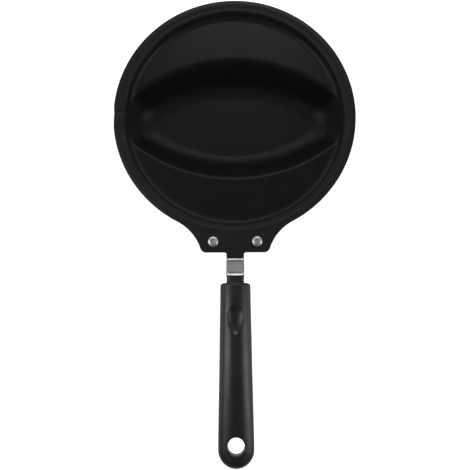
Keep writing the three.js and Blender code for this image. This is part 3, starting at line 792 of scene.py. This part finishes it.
# Rows of distance, half-width, top and underside, as shares of the body's length, half-width and height
gripShares = [
    [0, 0.875, 0.43, 0.44],
    [0.12, 0.888, 0.45, 0.49],
    [0.3, 0.915, 0.46, 0.54],
    [0.5, 0.938, 0.44, 0.51],
    [0.7, 0.972, 0.39, 0.41],
    [0.87, 0.995, 0.35, 0.32],
    [1, 1, 0.32, 0.3],
]
halfDeep = strap["height"] / 2
handleUp = np.array([0, np.sin(slopeAngle), np.cos(slopeAngle)])
handleOrigin = np.array([0, -neckDistance, neckTop]) - halfDeep * handleUp


# From the handle's own axes to the pan's: a turn about X by the slope, then a move
def onHandle(points):
    x, y, z = np.moveaxis(points, -1, 0)
    c, s = np.cos(slopeAngle), np.sin(slopeAngle)
    return np.stack([x, y * c + z * s, z * c - y * s], -1) + handleOrigin


# Rows of the grip's skin, each (distance, half-width, top, underside, power, middle height)
def gripRows(distance, halfWidth, top, bottom, power, middle=0):
    columns = np.broadcast_arrays(*map(np.atleast_1d, (distance, halfWidth, top, bottom, power, middle)))
    return np.stack(columns, 1).astype(float)


# Body row at a distance behind its front face: its shares, less the rounded front and end
def bodyRows(distance):
    share = distance / grip["length"]
    left = grip["length"] - distance
    roundEnd = 1 - edgeInset(left, grip["halfWidth"]) / grip["halfWidth"]
    front, end = edgeInset(distance, grip["frontRadius"]), edgeInset(left, grip["endRadius"])
    return gripRows(
        grip["neckLength"] + distance,
        np.maximum(smoothTable(gripShares, 1, share) * grip["halfWidth"] * roundEnd - front, 0),
        smoothTable(gripShares, 2, share) * grip["height"] - front - end,
        smoothTable(gripShares, 3, share) * grip["height"] - front - end,
        grip["power"])


# Height of the thumb rest's floor: an egg-shaped bowl, wider towards the pan, infinite outside it
def thumbFloor(x, distance):
    depth, scoop = grip["thumbDepth"], grip["thumbScoop"]
    cut = np.sqrt(1 - ((scoop - depth) / scoop) ** 2)
    ahead = (grip["neckLength"] + grip["thumbDistance"] - distance) / (grip["thumbLength"] / 2)
    wide = grip["thumbHalfWidth"] / cut * np.clip(1 + grip["thumbTaper"] * ahead, *grip["thumbTaperEnds"])
    reach = (x / wide) ** 2 + (ahead * cut) ** 2
    surface = smoothTable(gripShares, 2, grip["thumbDistance"] / grip["length"]) * grip["height"]
    bowl = surface - depth + scoop * (1 - np.sqrt(np.maximum(1 - reach, 0)))
    return np.where(reach < 1, bowl, np.inf)


# Right half of the skin from its rows: each row is half a superellipse from the top edge's x to the
# underside edge's x, both zero where the skin is whole
def halfSkin(rows, topEdge, bottomEdge):
    distance, wide, top, bottom, power, middle = (rows[:, k:k + 1] for k in range(6))

    # Where the superellipse has the edge's x: the cosine is x over the half-width, to half the power
    def startAngle(edge):
        share = np.clip(edge[:, None] / np.maximum(wide, 1e-6), 0, 1)
        return np.arccos(share ** (power / 2))

    down = np.linspace(0, 1, grip["columns"])[None]
    first, last = startAngle(topEdge), -startAngle(bottomEdge)
    angle = first + (last - first) * down
    c, s = np.cos(angle), np.sin(angle)
    x = wide * np.abs(c) ** (2 / power)
    x[:, 0], x[:, -1] = topEdge, bottomEdge
    z = np.where(s > 0, top, bottom) * np.sign(s) * np.abs(s) ** (2 / power)
    body = distance >= grip["neckLength"] + grip["frontRadius"]
    sunk = -smoothMax(-z, -thumbFloor(x, distance), grip["thumbEdge"])
    z = np.where(body & (z > 0), sunk, z) + middle
    return np.stack([x, -distance + 0 * x, z], -1)


# Strip from a ring of skin points into a hole: rows of (radius, height, share of the skin's height)
def holeStrip(ring, centre, rows):
    spoke = unit(ring[:, :2] - [0, -centre])
    strips = [np.column_stack([[0, -centre] + spoke * radius, height + share * ring[:, 2]])
              for radius, height, share in rows]
    return np.stack([ring, *strips])


# The grip's skin from the tang's slot over the neck and body to its rounded end, split along the middle,
# with the hanging hole and the screw's bore let into it
def gripPiece():
    half, deep = grip["neckHalfWidth"], grip["neckHalfHeight"]
    slotWide, slotDeep = strap["tangHalfWidth"] + seatGap, bracketSheet / 2 + seatGap
    slotMiddle = halfDeep - bracketSheet / 2
    slotEnd, slotEdge = strap["tangLength"] + seatGap, grip["slotEdge"]
    slotAt = [slotEnd, slotEnd - slotEdge, slotEnd / 2, slotEdge, 0]
    neckEdge, fillet, neckPower = grip["neckEdge"], grip["neckFillet"], grip["neckPower"]
    edgeIn, edgeAt = neckEdge * (1 - np.sin(quarterTurn)), neckEdge * (1 - np.cos(quarterTurn))
    swell = fillet * (1 - np.cos(quarterTurn))
    filletAt = grip["neckLength"] - fillet + fillet * np.sin(quarterTurn)
    shoulder = bodyRows(np.array([0.0]))
    lastNeck = gripRows(grip["neckLength"], half + fillet, deep + fillet, deep + fillet, neckPower)
    between = np.linspace(0, 1, 5)[1:-1, None]
    front = np.concatenate([
        gripRows(slotEnd, slotWide - slotDeep, 0, 0, grip["slotPower"], slotMiddle),
        gripRows(slotAt, slotWide, slotDeep, slotDeep, grip["slotPower"], slotMiddle),
        gripRows(edgeAt, half - edgeIn, deep - edgeIn, deep - edgeIn, neckPower),
        gripRows(np.linspace(neckEdge, filletAt[0], 6)[1:-1], half, deep, deep, neckPower),
        gripRows(filletAt, half + swell, deep + swell, deep + swell, neckPower),
        lastNeck + (shoulder - lastNeck) * between,
    ])

    bore, hang = grip["boreRadius"] + grip["boreLip"], grip["hangRadius"] + grip["hangLip"]
    boreAt = grip["screwDistance"] - grip["neckLength"]
    hangAt = grip["length"] - grip["hangInset"]
    boreTurn, hangTurn = np.linspace(0, np.pi, gripSteps["bore"]), np.linspace(0, np.pi, gripSteps["hang"])
    boreRows, hangRows = boreAt - bore * np.cos(boreTurn), hangAt - hang * np.cos(hangTurn)
    frontTurn = np.arccos(1 - boreRows[0] / grip["frontRadius"])
    frontRows = grip["frontRadius"] * (1 - np.cos(np.linspace(0, frontTurn, gripSteps["front"])))
    thumbEnd = grip["thumbDistance"] + grip["thumbLength"] / 2 + grip["thumbMargin"]
    thumbRows = np.linspace(boreRows[-1], thumbEnd, gripSteps["thumb"])
    shaftRows = np.linspace(thumbEnd, hangRows[0], gripSteps["shaft"])
    tailStart = np.arcsin((hangRows[-1] - grip["length"] + grip["halfWidth"]) / grip["halfWidth"])
    tailTurn = np.linspace(tailStart, np.pi / 2, gripSteps["tail"])
    tailRows = grip["length"] - grip["halfWidth"] * (1 - np.sin(tailTurn))
    body = np.concatenate([frontRows[:-1], boreRows, thumbRows[1:], shaftRows[1:-1], hangRows, tailRows[1:]])
    rows = np.concatenate([front, bodyRows(body)])

    boreFirst = len(front) + len(frontRows) - 1
    hangFirst = len(rows) - len(tailRows) + 1 - len(hangRows)
    boreSpan = slice(boreFirst, boreFirst + len(boreRows))
    hangSpan = slice(hangFirst, hangFirst + len(hangRows))
    topEdge, bottomEdge = np.zeros(len(rows)), np.zeros(len(rows))
    bottomEdge[boreSpan][1:-1] = bore * np.sin(boreTurn[1:-1])
    for edge in (topEdge, bottomEdge):
        edge[hangSpan][1:-1] = hang * np.sin(hangTurn[1:-1])
    right = halfSkin(rows, topEdge, bottomEdge)
    left = right * [-1, 1, 1]

    def ringOf(span, column):
        return np.concatenate([right[span, column], left[span, column][-2:0:-1]])

    # A quarter circle from the lip down into the hole
    def lipRows(radius, lip, side):
        return [(radius + lip * (1 - np.sin(t)), side * lip * (1 - np.cos(t)), 1) for t in quarterTurn[1:]]

    topLip, underLip = (holeStrip(ringOf(hangSpan, column), grip["neckLength"] + hangAt,
                                  lipRows(grip["hangRadius"], grip["hangLip"], side))
                        for column, side in ((0, -1), (-1, 1)))
    wall = np.linspace(0, 1, gripSteps["wall"])[1:-1, None, None]
    hole = np.concatenate([topLip, topLip[-1] + (underLip[-1] - topLip[-1]) * wall, underLip[::-1]])
    boreStrip = holeStrip(ringOf(boreSpan, -1), grip["screwDistance"], [
        *lipRows(grip["boreRadius"], grip["boreLip"], 1),
        (grip["boreRadius"], -grip["boreSeat"], 0),
        (grip["shankHole"], -grip["boreSeat"], 0),
        (grip["shankHole"], -grip["shankTop"], 0),
        (0, -grip["shankTop"], 0),
    ])

    skins = [(right, False), (left[:, ::-1], False), (hole, True), (boreStrip[::-1], True)]
    points, quads, count = [], [], 0
    for skin, closed in skins:
        points.append(skin.reshape(-1, 3))
        quads.append(gridQuads(*skin.shape[:2], first=count, closed=closed))
        count += len(points[-1])
    return newPiece("moulded_grip", onHandle(np.concatenate(points)), np.concatenate(quads), phenolicMaterial)


fit(gripPiece(), "phenolic_grip", "handle_grip")
print("grip made")

# Screw driven up into the grip from below: plain shank, rounded pan head and a cross recess
screw = dict(
    radius=2,
    tip=6.6,
    tipEdge=0.8,
    headTop=-7.0,
    headHeight=2.6,
    headRadius=3.8,
    headEdge=1.3,
    seatEdge=0.15,     # under the head
    shankEdge=0.2,
    recessHalfWidth=0.5,
    recessReach=1.9,
    recessDepth=1.3,
    recessSides=0.2,   # how much of an arm's half-width its sloping sides take, either way
    recessEnd=0.15,    # and how much of its reach its sloping end takes
    faceSteps=34,
    sides=96,
)


# Share of a cross recess at x, y: one inside either arm, falling smoothly to zero over its edges
def crossShare(x, y):
    wide, side = screw["recessHalfWidth"], screw["recessSides"]
    reach, end = screw["recessReach"], screw["recessEnd"]

    # The arm's two flanks times its end
    def arm(over, along):
        flanks = 1 - smoothStep((1 - side) * wide, (1 + side) * wide, np.abs(over))
        return flanks * (1 - smoothStep((1 - end) * reach, reach, np.abs(along)))

    return np.maximum(arm(x, y), arm(y, x))


# The screw, turned about its own axis with the cross sunk in its face
def screwPiece():
    radius, headTop, head = screw["radius"], screw["headTop"], screw["headRadius"]
    headBottom = headTop - screw["headHeight"]
    side = roundedPath([
        (0, screw["tip"], 0),
        (radius, screw["tip"], screw["tipEdge"]),
        (radius, headTop, screw["shankEdge"]),
        (head, headTop, screw["seatEdge"]),
        (head, headBottom, screw["headEdge"]),
        (0, headBottom, 0),
    ], stepDegrees=10)[:-1]
    face = np.linspace(side[-1], (0, headBottom), screw["faceSteps"])[1:]
    rings = turned(np.vstack([side, face]), screw["sides"], (0, 0, 0))
    sunk = screw["recessDepth"] * crossShare(rings[..., 0], rings[..., 1])
    rings[..., 2] += np.where(np.isclose(rings[..., 2], headBottom), sunk, 0)
    points = onHandle(rings.reshape(-1, 3) - [0, grip["screwDistance"], 0])
    quads = gridQuads(len(rings), screw["sides"], closed=True)
    return newPiece("cross_screw", points, quads, zincMaterial)


fit(screwPiece(), "screw_steel", "grip_screw")
for name, material in (("screw_washer", zincMaterial), ("threaded_insert", brassMaterial)):
    nodes[name].data.materials.clear()
    nodes[name].data.materials.append(material)
print("screw made, washer and insert finished")

# White table that keeps the shadow: a pale matt lit by the lamps, with a glow for the camera that makes it
# white and a fainter one for what the metal mirrors. Its size and its drop below the pan are in metres.
table = dict(size=6, drop=0.0004, colour=0xe4e4e4, glow=0.9, mirrored=0.22)


def whiteTable():
    half = table["size"] / 2
    mesh = bpy.data.meshes.new("table")
    corners = [(x * half, y * half, -table["drop"]) for x, y in ((-1, -1), (1, -1), (1, 1), (-1, 1))]
    mesh.from_pydata(corners, [], [(0, 1, 2, 3)])
    floor = bpy.data.objects.new("table", mesh)
    bpy.context.scene.collection.objects.link(floor)
    material = bpy.data.materials.new("matt_white_table")
    material.use_nodes = True
    tree = material.node_tree
    tree.nodes.clear()
    rays = addNode(tree, "LightPath", {}).outputs
    mirrored = addNode(tree, "Math", {0: rays["Is Glossy Ray"], 1: rays["Is Transmission Ray"]},
                       operation="MAXIMUM")
    mirrored = addNode(tree, "Math", {0: mirrored, 1: table["mirrored"]}, operation="MULTIPLY")
    strength = addNode(tree, "Math", {0: rays["Is Camera Ray"], 1: table["glow"], 2: mirrored},
                       operation="MULTIPLY_ADD")
    glow = addNode(tree, "Emission", {"Color": (1, 1, 1, 1), "Strength": strength})
    matt = addNode(tree, "BsdfDiffuse", {"Color": linearColour(table["colour"])})
    both = addNode(tree, "AddShader", {0: glow, 1: matt})
    addNode(tree, "OutputMaterial", {"Surface": both})
    mesh.materials.append(material)
    return floor


whiteTable()

# Room: pale at the horizon and dim overhead, and plain white where the camera looks past the table
room = dict(overhead=0.04, horizon=1.4, fade=0.2)


def paleRoom():
    world = bpy.data.worlds.new("pale room")
    bpy.context.scene.world = world
    world.use_nodes = True
    tree = world.node_tree
    tree.nodes.clear()
    direction = addNode(tree, "TexCoord", {}).outputs["Generated"]
    height = addNode(tree, "SeparateXYZ", {0: direction}).outputs["Z"]
    light = addNode(tree, "MapRange", {0: height, 1: 0.0, 2: room["fade"], 3: room["horizon"],
                                       4: room["overhead"]})
    camera = addNode(tree, "LightPath", {}).outputs["Is Camera Ray"]
    strength = addNode(tree, "Mix", {0: camera, 2: light, 3: 1.0})
    glow = addNode(tree, "Background", {"Color": (1, 1, 1, 1), "Strength": strength})
    addNode(tree, "OutputWorld", {"Surface": glow})


paleRoom()

# Lamps: soft boxes that face the plate beside the tab, each at its angles from straight up and round from
# +Y, in degrees, with its width and height in metres and its power in watts. Distance and aim are in metres.
lamps = dict(
    left=dict(zenith=38, azimuth=-92, size=(0.42, 0.7), power=3.6),
    right=dict(zenith=48, azimuth=100, size=(0.45, 0.8), power=3.7),
    far=dict(zenith=42, azimuth=3, size=(0.7, 0.3), power=2.7),
    farLeft=dict(zenith=66, azimuth=-40, size=(0.4, 0.4), power=1.1),
    farRight=dict(zenith=66, azimuth=40, size=(0.4, 0.4), power=0.9),
    lowLeft=dict(zenith=80, azimuth=-92, size=(0.6, 0.34), power=0.6),
    lowRight=dict(zenith=80, azimuth=92, size=(0.6, 0.34), power=0.6),
)
lampDistance = 1.2
lampAim = np.array([0, -0.08, 0.03])


# The lamp stands on a sphere about the aim and looks back at it, with its first side level
def softBox(name, zenith, azimuth, size, power):
    zenith, azimuth = np.radians([zenith, azimuth])
    away = np.array([np.sin(zenith) * np.sin(azimuth), np.sin(zenith) * np.cos(azimuth), np.cos(zenith)])
    level = np.array([np.cos(azimuth), -np.sin(azimuth), 0])
    light = bpy.data.lights.new(name, "AREA")
    light.shape, light.size, light.size_y, light.energy = "RECTANGLE", *size, power
    lamp = bpy.data.objects.new(name, light)
    bpy.context.scene.collection.objects.link(lamp)
    matrix = np.eye(4)
    matrix[:3] = np.stack([level, np.cross(away, level), away, lampAim + away * lampDistance], 1)
    lamp.matrix_world = matrix.T.tolist()


for lampName, lampSettings in lamps.items():
    softBox(lampName + " soft box", **lampSettings)

# Camera above the handle, almost straight down, where the photograph was taken from; its place is in
# millimetres and its focal length in pixels of the photograph
view = dict(
    place=(1.71, -185.55, 578.96),
    turnDegrees=(6.969, 0.231, -0.321),
    focalPixels=564,
    imagePixels=470,
)


def photoCamera():
    data = bpy.data.cameras.new("photo camera")
    data.sensor_width = 36
    data.lens = data.sensor_width * view["focalPixels"] / view["imagePixels"]
    camera = bpy.data.objects.new("photo camera", data)
    camera.location = [value * mm for value in view["place"]]
    camera.rotation_euler = np.radians(view["turnDegrees"]).tolist()
    bpy.context.scene.collection.objects.link(camera)
    bpy.context.scene.camera = camera


photoCamera()
bpy.context.scene.view_settings.view_transform = "Standard"
print("table, lamps and camera set")
